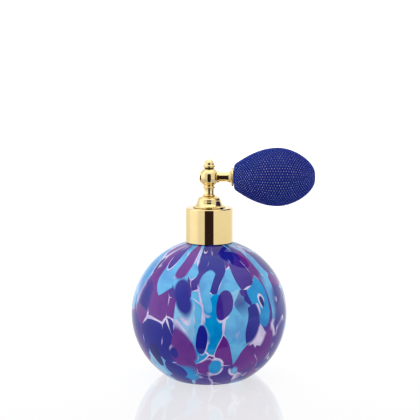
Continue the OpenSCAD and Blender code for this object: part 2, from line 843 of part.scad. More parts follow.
module tail_valve_body() {
    color("silver")
        difference() {
            turned_x([
                [tail_x0, 0], [tail_x0, tail_r - chamfer], [tail_x0 + chamfer, tail_r],
                [tail_x1 - chamfer, tail_r], [tail_x1, tail_r - chamfer], [tail_x1, 0]
            ]);
            rod_x(tail_x0 - cut, tail_seat_x, valve_r);
            rod_x(tail_seat_x - cut, tail_x1 + cut, seat_bore / 2);
        }
}

module tail_valve_ball() {
    color("silver")
        valve_ball(tail_ball_x);
}

module tail_valve_cage() {
    color("white")
        stop_disc(tail_cage_x);
}

bottle();
neck_ring();
neck_gasket();
collar_shell();
collar_liner();
neck_plug();
head_foot();
head_body();
riser_tube();
liquid_jet();
spray_nozzle();
finial();
finial_seal();
dip_tube();
arm_tube();
bulb_ferrule();
bulb_spigot();
outlet_valve_seat();
outlet_valve_ball();
outlet_valve_stop();
bulb_upper();
bulb_lower();
net_cover();
net_neck_cord();
net_tail_cord();
tail_valve_body();
tail_valve_ball();
tail_valve_cage();
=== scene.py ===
# %% [markdown]
# # A perfume atomiser with a netted squeeze bulb
# The CAD model gives the frame: every size, place and moving body. This script puts the finished
# surfaces around it: cased art glass, gold plate, rubber and a knitted net. All lengths are metres.

# %% Load the frame
import json
import math

import bmesh
import bpy
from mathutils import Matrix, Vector


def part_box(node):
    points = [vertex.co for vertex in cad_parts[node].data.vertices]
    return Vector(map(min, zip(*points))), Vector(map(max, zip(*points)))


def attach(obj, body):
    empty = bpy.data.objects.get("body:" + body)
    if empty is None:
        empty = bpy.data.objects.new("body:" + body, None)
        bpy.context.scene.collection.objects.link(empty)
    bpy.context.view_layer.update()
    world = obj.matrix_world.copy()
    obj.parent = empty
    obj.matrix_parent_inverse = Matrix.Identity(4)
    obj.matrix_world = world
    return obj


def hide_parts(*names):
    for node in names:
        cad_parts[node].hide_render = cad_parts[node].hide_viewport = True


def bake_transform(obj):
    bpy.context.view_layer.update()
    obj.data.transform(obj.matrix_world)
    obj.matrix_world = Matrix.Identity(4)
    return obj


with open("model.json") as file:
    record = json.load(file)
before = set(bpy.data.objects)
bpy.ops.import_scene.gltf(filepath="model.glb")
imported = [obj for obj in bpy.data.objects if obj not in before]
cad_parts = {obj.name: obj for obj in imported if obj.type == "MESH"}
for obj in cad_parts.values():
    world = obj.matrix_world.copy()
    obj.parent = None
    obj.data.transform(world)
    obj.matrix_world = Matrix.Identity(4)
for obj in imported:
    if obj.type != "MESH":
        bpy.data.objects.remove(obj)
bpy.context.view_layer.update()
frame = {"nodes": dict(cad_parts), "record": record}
MM = 0.001
scene = bpy.context.scene
scene.view_settings.view_transform = "Standard"

# %% [markdown]
# ## Places and sizes
# A finished piece has to lie exactly where its CAD piece lies. Numbers could be typed in again, but
# then the two would drift apart. So every size that the CAD model already holds is measured from
# the boxes of its nodes, and only what the CAD model leaves out gets a value of its own.

# %% Measure the frame
bottle_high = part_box("bottle")[1]
arm_low, arm_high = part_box("arm_tube")
net_low, net_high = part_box("net_cover")
disc_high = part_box("bulb_ferrule")[1]
seat_low, seat_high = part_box("bulb_upper")
plug_low, plug_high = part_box("tail_valve_body")
spigot_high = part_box("bulb_spigot")[1]
tail_low, tail_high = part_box("net_tail_cord")
neck_cord_low, neck_cord_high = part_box("net_neck_cord")

arm_z = (arm_low.z + arm_high.z) / 2
bulb_r = net_high.y
globe_r = bottle_high.x
rim_z = bottle_high.z
print("arm axis at", round(arm_z / MM, 2), "mm, globe radius", round(globe_r / MM, 2), "mm")

# %% [markdown]
# ## Camera
# A long lens from a little above the object keeps the upright lines upright. The camera stands
# straight in front of the arm, so the bottle, the arm and the bulb are all seen from the side. A
# small lens shift puts the object low in the frame without tilting the camera any further.

# %% Camera
camera_target = Vector((0, 0, 0.060))
camera_distance = 0.550
camera_rise = math.radians(10.4)
camera_data = bpy.data.cameras.new("camera")
camera_data.sensor_width = 36
camera_data.lens = 90.9
camera_data.shift_x = 0.002
camera_data.shift_y = 0.1225
camera = bpy.data.objects.new("camera", camera_data)
camera.location = camera_target + camera_distance * Vector(
    (0, -math.cos(camera_rise), math.sin(camera_rise))
)
camera.rotation_euler = (math.pi / 2 - camera_rise, 0, 0)
scene.collection.objects.link(camera)
scene.camera = camera
print("camera at", [round(v, 3) for v in camera.location])

# %% [markdown]
# ## Short helpers for shader trees
# A tree written out node by node is long and hard to follow. Each helper adds one node, sets its
# values and gives back the socket that the next line needs. Colours are written as a painter's code
# and turned into the linear values that a shader works in.

# %% Node helpers
def node(tree, kind, **settings):
    """A new node with its settings, and its inputs set or linked by name or number."""
    made = tree.nodes.new(kind)
    inputs = settings.pop("inputs", {})
    for key, value in settings.items():
        setattr(made, key, value)
    for key, value in inputs.items():
        if isinstance(value, bpy.types.NodeSocket):
            tree.links.new(value, made.inputs[key])
        else:
            made.inputs[key].default_value = value
    return made


def sums(tree, operation, *values, clamp=False):
    """The result socket of a Math node on these sockets or numbers."""
    return node(
        tree, "ShaderNodeMath", operation=operation, use_clamp=clamp,
        inputs=dict(enumerate(values)),
    ).outputs[0]


def linear(code):
    """A colour such as #2f3a90 in the linear values that a shader works in."""
    parts = [int(code[i:i + 2], 16) / 255 for i in (1, 3, 5)]
    return [c / 12.92 if c < 0.04045 else ((c + 0.055) / 1.055) ** 2.4 for c in parts] + [1]


def fade(tree, value, low, high):
    """0 below low, 1 above high, and smooth between."""
    return node(
        tree, "ShaderNodeMapRange", interpolation_type="SMOOTHSTEP",
        inputs={"Value": value, "From Min": low, "From Max": high},
    ).outputs[0]


def mixed(tree, factor, first, second, blend="MIX"):
    """The colour between first and second."""
    mix = node(tree, "ShaderNodeMix", data_type="RGBA", blend_type=blend)
    for socket, value in ((mix.inputs[0], factor), (mix.inputs[6], first), (mix.inputs[7], second)):
        if isinstance(value, bpy.types.NodeSocket):
            tree.links.new(value, socket)
        else:
            socket.default_value = value
    return mix.outputs[2]


print("mid grey is", round(linear("#808080")[0], 3), "in linear values")

# %% [markdown]
# ## Light
# Polished gold shows nothing but its surroundings, so the studio matters more than the material.
# Such pieces stand in a white tent with a slit for the camera: the walls give the broad pale
# reflections, and the slit gives the crisp dark stripe that makes the metal look like metal. The
# tent could be built from glowing sheets. Here it is the world itself, a white room whose colour
# depends on the direction, because that lights evenly and costs almost nothing to render.

# %% The white tent
slit_left, slit_right = -21.5, 21
slit_low, slit_high = -43, 40
slit_soft = 1.2
world = bpy.data.worlds.new("white_tent")
world.use_nodes = True
scene.world = world
sky = world.node_tree
sky.nodes.clear()
ray = node(sky, "ShaderNodeTexCoord").outputs["Generated"]
aim = node(sky, "ShaderNodeSeparateXYZ", inputs={0: ray}).outputs
turn = sums(sky, "ARCTAN2", aim[0], sums(sky, "MULTIPLY", aim[1], -1))
turn = sums(sky, "MULTIPLY", turn, 180 / math.pi)
rise = sums(sky, "MULTIPLY", sums(sky, "ARCSINE", aim[2]), 180 / math.pi)
across = sums(
    sky, "MULTIPLY",
    fade(sky, turn, slit_left - slit_soft, slit_left + slit_soft),
    fade(sky, turn, slit_right + slit_soft, slit_right - slit_soft),
)
up = sums(
    sky, "MULTIPLY",
    fade(sky, rise, slit_low - slit_soft, slit_low + slit_soft),
    fade(sky, rise, slit_high + slit_soft, slit_high - slit_soft),
)
slit = sums(sky, "MULTIPLY", across, up)
FRONT, LEFT_PANEL, RIGHT_PANEL = (0.92, 0.92, 0.92, 1), (1.50, 1.52, 1.62, 1), (1.00, 0.97, 0.90, 1)
BACK, ROOF, DARK = (1.12, 1.12, 1.12, 1), (1.6, 1.6, 1.6, 1), (0.030, 0.018, 0.022, 1)
on_left = sums(sky, "MULTIPLY", fade(sky, turn, -45, -70), fade(sky, turn, -125, -95))
on_right = sums(sky, "MULTIPLY", fade(sky, turn, 10, 30), fade(sky, turn, 150, 120))
tent = mixed(sky, on_left, FRONT, LEFT_PANEL)
tent = mixed(sky, on_right, tent, RIGHT_PANEL)
tent = mixed(sky, fade(sky, aim[1], 0.55, 0.9), tent, BACK)
tent = mixed(sky, fade(sky, aim[2], 0.6, 0.95), tent, ROOF)
room = mixed(sky, slit, tent, DARK)
background = node(sky, "ShaderNodeBackground", inputs={"Color": room, "Strength": 1})
out = node(sky, "ShaderNodeOutputWorld")
sky.links.new(background.outputs[0], out.inputs[0])
print("the slit is", slit_right - slit_left, "degrees wide")

# %% [markdown]
# ## Floor
# The object stands on a light table: a sheet of glossy white acrylic lit from below, which leaves no
# shadow and gives back a pale image of the glass. A large flat disc does this, with a little light
# of its own. Its gloss grows at a low angle by itself, through the shader. Two things are there only
# for reflections, and the Light Path node picks out the rays that come off a shiny surface. The
# floor glows less in them, because the polished collar mirrors it and would look flat. And a dark
# lane carries the slit of the tent on over the floor, where a camera stand would be.

# %% Floor
def make_object(name, mesh):
    """A new object around a mesh, in the scene."""
    made = bpy.data.objects.new(name, mesh)
    scene.collection.objects.link(made)
    return made


def principled(name, **values):
    """A new material with one Principled shader: its material, its tree and the shader node."""
    material = bpy.data.materials.new(name)
    material.use_nodes = True
    tree = material.node_tree
    shader = tree.nodes["Principled BSDF"]
    for key, value in values.items():
        shader.inputs[key.replace("_", " ")].default_value = value
    return material, tree, shader


floor_radius = 4
floor_gap = 0.02 * MM
lane_start = 62 * MM
lane_fade = 4 * MM
glow_seen = 0.68
glow_mirrored = 0.52

floor_mesh = bpy.data.meshes.new("floor")
sheet = bmesh.new()
bmesh.ops.create_circle(sheet, cap_ends=True, segments=96, radius=floor_radius)
sheet.to_mesh(floor_mesh)
sheet.free()
floor = make_object("floor", floor_mesh)
floor.location.z = -floor_gap
acrylic, tree, shader = principled(
    "white_acrylic", Roughness=0.05, IOR=1.45, Emission_Color=(1, 1, 1, 1)
)
cloudy = node(tree, "ShaderNodeTexNoise", inputs={"Scale": 3.0, "Detail": 2.0}).outputs[0]
tree.links.new(
    mixed(tree, cloudy, (0.10, 0.10, 0.11, 1), (0.12, 0.12, 0.12, 1)), shader.inputs["Base Color"]
)
spot = node(tree, "ShaderNodeSeparateXYZ", inputs={
    0: node(tree, "ShaderNodeTexCoord").outputs["Object"],
}).outputs
ahead = sums(tree, "MULTIPLY", spot[1], -1)
lane = sums(tree, "MULTIPLY", sums(tree, "ARCTAN2", spot[0], ahead), 180 / math.pi)
lane = sums(
    tree, "MULTIPLY",
    fade(tree, lane, slit_left - slit_soft, slit_left + slit_soft),
    fade(tree, lane, slit_right + slit_soft, slit_right - slit_soft),
)
lane = sums(tree, "MULTIPLY", lane, fade(tree, ahead, lane_start, lane_start + lane_fade))
path = node(tree, "ShaderNodeLightPath").outputs
seen_in_gloss = sums(tree, "MULTIPLY", lane, path["Is Glossy Ray"])
glow = sums(tree, "MULTIPLY_ADD", path["Is Glossy Ray"], glow_mirrored - glow_seen, glow_seen)
tree.links.new(glow, shader.inputs["Emission Strength"])
dark = node(tree, "ShaderNodeEmission", inputs={"Color": DARK, "Strength": 1.0})
shown = node(tree, "ShaderNodeMixShader", inputs={
    0: seen_in_gloss, 1: shader.outputs[0], 2: dark.outputs[0],
})
tree.links.new(shown.outputs[0], tree.nodes["Material Output"].inputs["Surface"])
floor_mesh.materials.append(acrylic)
print("floor", floor_mesh.polygons[0].area, "square metres")

# %% [markdown]
# ## Outlines and turned pieces
# Glass blown in a mould, metal spun or turned on a lathe, and a moulded rubber bulb are all round
# about one axis. So each needs only half of its outline and a function that carries it round. The
# Screw modifier could do that, but a short bmesh loop also closes the poles, can stop half way
# round, and leaves the faces pointing outwards.

# %% Outline helpers
def arc(centre, radius, start, stop, steps):
    """Points along an arc, from the angle start to stop in degrees."""
    turns = [math.radians(start + (stop - start) * i / steps) for i in range(steps + 1)]
    return [(centre[0] + radius * math.cos(a), centre[1] + radius * math.sin(a)) for a in turns]


def bend(p0, p1, p2, p3, steps):
    """Points along a cubic curve, without its first point."""
    points = []
    for i in range(1, steps + 1):
        t = i / steps
        s = 1 - t
        weights = (s ** 3, 3 * s * s * t, 3 * s * t * t, t ** 3)
        points.append(tuple(
            sum(w * p[k] for w, p in zip(weights, (p0, p1, p2, p3))) for k in (0, 1)
        ))
    return points


def inset(points, depth):
    """The same line moved sideways by depth, to the right of its direction."""
    moved = []
    for i, (x, y) in enumerate(points):
        ax, ay = points[max(i - 1, 0)]
        bx, by = points[min(i + 1, len(points) - 1)]
        length = math.hypot(bx - ax, by - ay)
        moved.append((x + depth * (by - ay) / length, y - depth * (bx - ax) / length))
    return moved


def turned(name, outline, place, sides=160, start=0.0, sweep=360.0):
    """A closed mesh: the outline of (radius, height) points carried round and put in place."""
    mesh = bpy.data.meshes.new(name)
    shape = bmesh.new()
    whole = sweep > 359.9
    count = sides if whole else sides + 1
    poles = {}
    rings = []
    for i in range(count):
        angle = math.radians(start + sweep * i / sides)
        ring = []
        for k, (radius, height) in enumerate(outline):
            if radius < 1e-7:
                if k not in poles:
                    poles[k] = shape.verts.new(place(0, height, 0))
                ring.append(poles[k])
            else:
                ring.append(shape.verts.new(place(radius, height, angle)))
        rings.append(ring)
    last = len(outline)
    for i in range(sides):
        near, far = rings[i], rings[(i + 1) % count]
        for k in range(last):
            corners = [near[k], near[(k + 1) % last], far[(k + 1) % last], far[k]]
            corners = list(dict.fromkeys(corners))
            if len(corners) > 2:
                shape.faces.new(corners)
    if not whole:
        shape.faces.new(rings[0])
        shape.faces.new(rings[-1])
    bmesh.ops.recalc_face_normals(shape, faces=shape.faces)
    shape.to_mesh(mesh)
    shape.free()
    mesh.shade_smooth()
    mesh.set_sharp_from_angle(angle=math.radians(35))
    return make_object(name, mesh)


def upright(radius, height, angle):
    """A point about the bottle's axis."""
    return Vector((radius * math.cos(angle), radius * math.sin(angle), height))


def sideways(radius, height, angle):
    """A point about the arm's axis, where height runs along X."""
    return Vector((height, radius * math.cos(angle), arm_z + radius * math.sin(angle)))


print("a quarter circle in 8 steps has", len(arc((0, 0), 1, 0, 90, 8)), "points")

# %% [markdown]
# ## The glass bottle
# The globe is blown in layers. A bubble of clear glass is rolled over chips of blue, violet and
# turquoise, heated until they melt in, and blown out, so each chip stretches into a petal that
# points to the neck. The shape is a plain turned outline: a flat foot with a ground hollow, a round
# side, a small rounding into the neck, and the inside of the wall.

# %% Bottle outline
side_shift = 2 * MM
side_r = globe_r - side_shift
foot_r = 21.2 * MM
foot_round = 2 * MM
hollow_r = 11 * MM
hollow_depth = 0.8 * MM
wall = 3.2 * MM
floor_t = 6.5 * MM
floor_round = 8 * MM
neck_r = 8.2 * MM
neck_bore_r = 6 * MM
neck_round = 1.5 * MM
rim_round = 0.8 * MM
inside_round = 3 * MM

foot_arc_r = side_r - foot_round
globe_z = foot_round + math.sqrt(foot_arc_r ** 2 - (foot_r - side_shift) ** 2)
foot_angle = -math.degrees(math.acos((foot_r - side_shift) / foot_arc_r))
neck_angle = math.degrees(math.acos((neck_r + neck_round - side_shift) / (side_r + neck_round)))
neck_z = globe_z + (side_r + neck_round) * math.sin(math.radians(neck_angle))
inner_r = side_r - wall
inside_angle = math.degrees(
    math.acos((neck_bore_r + inside_round - side_shift) / (inner_r + inside_round))
)
inside_z = globe_z + (inner_r + inside_round) * math.sin(math.radians(inside_angle))
floor_arc_r = inner_r - floor_round
floor_angle = math.degrees(math.asin((floor_t + floor_round - globe_z) / floor_arc_r))
floor_x = side_shift + floor_arc_r * math.cos(math.radians(floor_angle))
hollow_arc_r = (hollow_r ** 2 + hollow_depth ** 2) / (2 * hollow_depth)
hollow_angle = math.degrees(math.asin(hollow_r / hollow_arc_r))

outside = (
    arc((0, hollow_depth - hollow_arc_r), hollow_arc_r, 90, 90 - hollow_angle, 8)
    + arc((foot_r, foot_round), foot_round, -90, foot_angle, 8)
    + arc((side_shift, globe_z), side_r, foot_angle, neck_angle, 84)[1:]
    + arc((neck_r + neck_round, neck_z), neck_round, 180 + neck_angle, 180, 8)[1:]
    + arc((neck_r - rim_round, rim_z - rim_round), rim_round, 0, 90, 6)
)
inside = (
    arc((neck_bore_r + rim_round, rim_z - rim_round), rim_round, 90, 180, 6)[1:]
    + arc((neck_bore_r + inside_round, inside_z), inside_round, 180, 180 + inside_angle, 8)
    + arc((side_shift, globe_z), inner_r, inside_angle, floor_angle, 60)[1:]
    + arc((floor_x, floor_t + floor_round), floor_round, floor_angle, -90, 10)[1:]
    + [(0, floor_t)]
)
glass = turned("glass_bottle", outside + inside, upright, sides=192)
print("glass_bottle has", len(glass.data.polygons), "faces, neck begins at", round(neck_z / MM, 2))

# %% [markdown]
# ## The colour of the glass
# The spots can't be painted by hand and must look right from every side, so they are worked out
# from the position on the glass. First a node group lays the globe out like a rolled sheet: above
# the middle every spot keeps its share of the way round, so it narrows to the neck. Then a second
# group strews petals over that sheet, and the material uses it several times, one layer over the
# other, just as the chips lie on the glass.

# %% Group: the globe laid out flat
def new_group(name, inputs, outputs):
    """An empty shader node group with named sockets, its input node and its output node."""
    group = bpy.data.node_groups.new(name, "ShaderNodeTree")
    for label, kind, value in inputs:
        socket = group.interface.new_socket(label, in_out="INPUT", socket_type=kind)
        if value is not None:
            socket.default_value = value
    for label, kind in outputs:
        group.interface.new_socket(label, in_out="OUTPUT", socket_type=kind)
    return group, group.nodes.new("NodeGroupInput"), group.nodes.new("NodeGroupOutput")


def use_group(tree, group, **inputs):
    """The group placed in a tree, with its inputs set."""
    placed = tree.nodes.new("ShaderNodeGroup")
    placed.node_tree = group
    for key, value in inputs.items():
        label = key.replace("_", " ")
        if isinstance(value, bpy.types.NodeSocket):
            tree.links.new(value, placed.inputs[label])
        else:
            placed.inputs[label].default_value = value
    return placed


NUMBER, VECTOR = "NodeSocketFloat", "NodeSocketVector"

layout, given, result = new_group(
    "blown_layout",
    [("Middle", NUMBER, 0.033), ("Radius", NUMBER, 0.040), ("Stretch", NUMBER, 1.8),
     ("Drift", NUMBER, 0.004)],
    [("Sheet", VECTOR)],
)
place = node(layout, "ShaderNodeTexCoord").outputs["Object"]
axes = node(layout, "ShaderNodeSeparateXYZ", inputs={0: place}).outputs
height = sums(layout, "SUBTRACT", axes[2], given.outputs["Middle"])
around = sums(layout, "SQRT", sums(
    layout, "ADD", sums(layout, "MULTIPLY", axes[0], axes[0]),
    sums(layout, "MULTIPLY", axes[1], axes[1]),
))
share = sums(layout, "MAXIMUM", sums(layout, "DIVIDE", around, given.outputs["Radius"]), 0.05)
above = sums(layout, "GREATER_THAN", height, 0.0)
below = sums(layout, "SUBTRACT", 1.0, above)
share = sums(layout, "ADD", sums(layout, "MULTIPLY", share, above), below)
slope = sums(layout, "DIVIDE", height, given.outputs["Radius"])
slope = sums(layout, "MINIMUM", sums(layout, "MAXIMUM", slope, -1.0), 1.0)
climb = sums(layout, "MULTIPLY", sums(layout, "ARCSINE", slope), given.outputs["Radius"])
climb = sums(layout, "DIVIDE", climb, given.outputs["Stretch"])
flat = node(layout, "ShaderNodeCombineXYZ", inputs={
    0: sums(layout, "DIVIDE", axes[0], share),
    1: sums(layout, "DIVIDE", axes[1], share),
    2: climb,
}).outputs[0]
swirl = node(
    layout, "ShaderNodeTexNoise", inputs={"Vector": place, "Scale": 38.0, "Detail": 1.0}
).outputs["Color"]
swirl = node(
    layout, "ShaderNodeVectorMath", operation="SUBTRACT", inputs={0: swirl, 1: (0.5, 0.5, 0.5)}
)
swirl = node(
    layout, "ShaderNodeVectorMath", operation="SCALE",
    inputs={0: swirl.outputs[0], "Scale": given.outputs["Drift"]},
)
moved = node(layout, "ShaderNodeVectorMath", operation="ADD", inputs={0: flat, 1: swirl.outputs[0]})
layout.links.new(moved.outputs[0], result.inputs["Sheet"])
print("group", layout.name, "has", len(layout.nodes), "nodes")

# %% [markdown]
# A chip of glass melts into a rounded petal, and no two are alike. A Voronoi texture scatters the
# centres. Each cell draws by chance whether it holds a petal, how large it is and which colour it
# takes. Petals laid one by one would give full control over their places, but hundreds of them would
# have to be placed by hand.

# %% Group: a layer of petals
petals, given, result = new_group(
    "petal_layer",
    [("Sheet", VECTOR, None), ("Across", NUMBER, 0.010), ("Offset", VECTOR, None),
     ("Fill", NUMBER, 0.5), ("Size", NUMBER, 0.42), ("Seam", NUMBER, 0.05), ("Soft", NUMBER, 0.01)],
    [("Petal", NUMBER), ("Seam", NUMBER), ("Chance", NUMBER)],
)
scaled = node(petals, "ShaderNodeVectorMath", operation="DIVIDE", inputs={0: given.outputs["Sheet"]})
spacing = node(petals, "ShaderNodeCombineXYZ", inputs={
    0: given.outputs["Across"], 1: given.outputs["Across"], 2: given.outputs["Across"],
})
petals.links.new(spacing.outputs[0], scaled.inputs[1])
placed = node(
    petals, "ShaderNodeVectorMath", operation="ADD",
    inputs={0: scaled.outputs[0], 1: given.outputs["Offset"]},
)
cells = node(
    petals, "ShaderNodeTexVoronoi", feature="F1",
    inputs={"Vector": placed.outputs[0], "Scale": 1.0, "Randomness": 0.85},
)
draw = node(petals, "ShaderNodeSeparateColor", inputs={0: cells.outputs["Color"]}).outputs
radius = sums(petals, "MULTIPLY", given.outputs["Size"], sums(petals, "ADD", 0.75, sums(
    petals, "MULTIPLY", draw[1], 0.5
)))
kept = sums(petals, "LESS_THAN", draw[0], given.outputs["Fill"])
depth = sums(petals, "SUBTRACT", radius, cells.outputs["Distance"])
soft = given.outputs["Soft"]
petal = sums(petals, "MULTIPLY", fade(petals, depth, sums(petals, "MULTIPLY", soft, -1), soft), kept)
outer = sums(petals, "ADD", depth, given.outputs["Seam"])
ring = sums(petals, "MULTIPLY", fade(petals, outer, -0.02, 0.01), kept)
petals.links.new(petal, result.inputs["Petal"])
petals.links.new(sums(petals, "SUBTRACT", ring, petal, clamp=True), result.inputs["Seam"])
petals.links.new(draw[2], result.inputs["Chance"])
print("group", petals.name, "has", len(petals.nodes), "nodes")

# %% [markdown]
# The glass material lays a ground of cells with pale joints, then four layers of petals. Joints
# come and go with a soft noise, because two chips of one colour melt together without a line.

# %% Material: cased art glass
INDIGO, NIGHT, VIOLET, PLUM = (linear(c) for c in ("#1c2090", "#141a78", "#432a94", "#6a2890"))
SKY, PALE, TURQUOISE, MILK = (linear(c) for c in ("#62b6e8", "#88c4ea", "#0094d6", "#d8cff0"))


def stepped(tree, value, stops):
    """The colour that a value from 0 to 1 falls on, in steps."""
    ramp = node(tree, "ShaderNodeValToRGB", inputs={0: value})
    ramp.color_ramp.interpolation = "CONSTANT"
    elements = ramp.color_ramp.elements
    elements[0].position, elements[0].color = stops[0]
    elements[1].position, elements[1].color = stops[1]
    for position, colour in stops[2:]:
        elements.new(position).color = colour
    return ramp.outputs[0]


def art_glass():
    """Cased glass: opaque spots under a clear, wavy, polished skin."""
    material, tree, shader = principled(
        "art_glass", Roughness=0.03, IOR=1.5, Specular_IOR_Level=0.33
    )
    sheet = use_group(tree, layout, Middle=globe_z, Radius=globe_r, Stretch=2.0, Drift=0.012)
    sheet = sheet.outputs["Sheet"]
    across = 12 * MM
    widest_joint = 0.05
    rim_seam = 0.028
    ground = node(
        tree, "ShaderNodeVectorMath", operation="SCALE", inputs={0: sheet, "Scale": 1 / across}
    ).outputs[0]
    cells = node(tree, "ShaderNodeTexVoronoi", feature="F1", inputs={
        "Vector": ground, "Scale": 1.0, "Randomness": 0.9,
    })
    edges = node(tree, "ShaderNodeTexVoronoi", feature="DISTANCE_TO_EDGE", inputs={
        "Vector": ground, "Scale": 1.0, "Randomness": 0.9,
    })
    draw = node(tree, "ShaderNodeSeparateColor", inputs={0: cells.outputs["Color"]}).outputs
    colour = stepped(tree, draw[0], [
        (0.0, SKY), (0.24, PALE), (0.34, TURQUOISE), (0.46, INDIGO), (0.68, VIOLET), (0.82, PLUM),
    ])
    coming = node(tree, "ShaderNodeTexNoise", inputs={"Scale": 90.0, "Detail": 1.0}).outputs[0]
    object_place = node(tree, "ShaderNodeTexCoord").outputs["Object"]
    tree.links.new(object_place, coming.node.inputs["Vector"])
    joint_w = sums(tree, "MULTIPLY", fade(tree, coming, 0.42, 0.72), widest_joint)
    joint = sums(tree, "LESS_THAN", edges.outputs["Distance"], joint_w)
    colour = mixed(tree, joint, colour, MILK)
    layers = [
        (15 * MM, (6.2, 1.7, 4.4), 0.50, 0.50, 0.16, [(0.0, TURQUOISE), (0.35, PLUM), (0.65, INDIGO)]),
        (14 * MM, (3.1, 7.7, 1.3), 0.48, 0.50, 0.02, [(0.0, SKY), (0.60, PALE), (0.80, TURQUOISE)]),
        (13 * MM, (9.4, 2.2, 5.8), 0.55, 0.46, 0.06, [(0.0, VIOLET), (0.35, PLUM), (0.60, INDIGO)]),
        (11 * MM, (5.6, 4.9, 8.1), 0.55, 0.42, 0.01, [(0.0, INDIGO), (0.45, NIGHT), (0.80, VIOLET)]),
    ]
    for spacing, offset, fill, size, soft, stops in layers:
        layer = use_group(
            tree, petals, Sheet=sheet, Across=spacing, Offset=offset, Fill=fill, Size=size,
            Seam=rim_seam + soft, Soft=soft,
        )
        seam = sums(tree, "MULTIPLY", layer.outputs["Seam"], fade(tree, coming, 0.50, 0.62))
        colour = mixed(tree, seam, colour, MILK)
        chip = stepped(tree, layer.outputs["Chance"], stops)
        colour = mixed(tree, layer.outputs["Petal"], colour, chip)
    cloud = node(tree, "ShaderNodeTexNoise", inputs={
        "Vector": object_place, "Scale": 120.0, "Detail": 3.0, "Distortion": 0.6,
    }).outputs[0]
    deeper = mixed(tree, 1.0, colour, (0.72, 0.70, 0.86, 1), blend="MULTIPLY")
    colour = mixed(tree, fade(tree, cloud, 0.40, 0.72), colour, deeper)
    tree.links.new(colour, shader.inputs["Base Color"])
    wavy = node(tree, "ShaderNodeTexNoise", inputs={
        "Vector": object_place, "Scale": 55.0, "Detail": 1.0,
    }).outputs[0]
    bump = node(tree, "ShaderNodeBump", inputs={
        "Height": wavy, "Strength": 0.35, "Distance": 0.3 * MM,
    })
    tree.links.new(bump.outputs[0], shader.inputs["Normal"])
    return material


glass.data.materials.append(art_glass())
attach(glass, "bottle")
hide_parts("bottle")
print("art_glass has", len(glass.data.materials[0].node_tree.nodes), "nodes")

# %% [markdown]
# ## One grain for every finish
# No real surface is even. Gold plate has faint smears, rubber a bloom, yarn its fibres, moulded
# plastic a slight mottle. Each of these is a noise at its own size. So it is one node group with
# named inputs, which every material from here on places with its own values: Mask mixes two close
# colours and two roughnesses, and Height feeds a Bump node.

# %% Group: grain
grain, given, result = new_group(
    "grain", [("Size", NUMBER, 0.002), ("Detail", NUMBER, 4.0), ("Twist", NUMBER, 0.0)],
    [("Mask", NUMBER), ("Height", NUMBER)],
)
place = node(grain, "ShaderNodeTexCoord").outputs["Object"]
coarse = node(grain, "ShaderNodeTexNoise", inputs={
    "Vector": place, "Scale": sums(grain, "DIVIDE", 1.0, given.outputs["Size"]),
    "Detail": given.outputs["Detail"], "Distortion": given.outputs["Twist"],
}).outputs[0]
fine = node(grain, "ShaderNodeTexNoise", inputs={
    "Vector": place, "Scale": sums(grain, "DIVIDE", 6.0, given.outputs["Size"]), "Detail": 2.0,
}).outputs[0]
grain.links.new(fade(grain, coarse, 0.35, 0.68), result.inputs["Mask"])
grain.links.new(sums(grain, "MULTIPLY_ADD", fine, 0.35, coarse), result.inputs["Height"])
print("group", grain.name, "has", len(grain.nodes), "nodes")


# %% [markdown]
# Plating, turned brass, drawn steel, rubber and plastic differ only in their two colours, the size
# of their grain, how rough they are and how far the grain stands up. So one function makes them all,
# and a table of finishes holds what is special to each.

# %% Grained materials
def grained(name, colours, size, rough, bump=0.0, twist=0.0, **values):
    """A material between two colours and two roughnesses, mixed and raised by the grain."""
    material, tree, shader = principled(name, **values)
    worn = use_group(tree, grain, Size=size, Twist=twist)
    mask = worn.outputs["Mask"]
    base = mixed(tree, mask, *(linear(code) for code in colours))
    tree.links.new(base, shader.inputs["Base Color"])
    roughness = node(tree, "ShaderNodeMapRange", inputs={
        "Value": mask, "To Min": rough[0], "To Max": rough[1],
    }).outputs[0]
    tree.links.new(roughness, shader.inputs["Roughness"])
    if bump:
        raised = node(tree, "ShaderNodeBump", inputs={
            "Height": worn.outputs["Height"], "Strength": 0.4, "Distance": bump,
        })
        tree.links.new(raised.outputs[0], shader.inputs["Normal"])
    return material


finishes = {
    "gilt_brass": grained(
        "gilt_brass", ("#e8d199", "#e6cf96"), 6 * MM, (0.04, 0.06), twist=1.2, Metallic=1.0
    ),
    "plain_brass": grained(
        "plain_brass", ("#c9a55c", "#a98444"), 3 * MM, (0.22, 0.40), bump=0.01 * MM, Metallic=1.0
    ),
    "steel": grained(
        "steel", ("#bcbfc4", "#94989e"), 1.5 * MM, (0.18, 0.34), bump=0.004 * MM, Metallic=1.0
    ),
    "seal_rubber": grained(
        "seal_rubber", ("#0e0e10", "#1c1c1f"), 1 * MM, (0.50, 0.72), bump=0.02 * MM
    ),
    "bulb_rubber": grained(
        "bulb_rubber", ("#101660", "#1a2276"), 4 * MM, (0.52, 0.68), bump=0.04 * MM
    ),
    "white_plastic": grained(
        "white_plastic", ("#e9e8e2", "#dad8cf"), 2 * MM, (0.32, 0.48), bump=0.01 * MM
    ),
    "clear_plastic": grained(
        "clear_plastic", ("#f2f6fa", "#dfe8ee"), 4 * MM, (0.04, 0.12), IOR=1.46,
        Transmission_Weight=0.92,
    ),
}
print("finishes:", ", ".join(finishes))

# %% [markdown]
# ## Metal, seals and small parts
# Everything that is turned, drawn or moulded keeps its exact shape from the CAD model. It only needs
# its finish, and the record already says which one each part has.

# %% Finishes on the carried-over parts
dressed = 0
for row in frame["record"]["subparts"]:
    if row["material_slot"] in finishes:
        frame["nodes"][row["node"]].data.materials[0] = finishes[row["material_slot"]]
        dressed += 1
print(dressed, "parts have their finish")

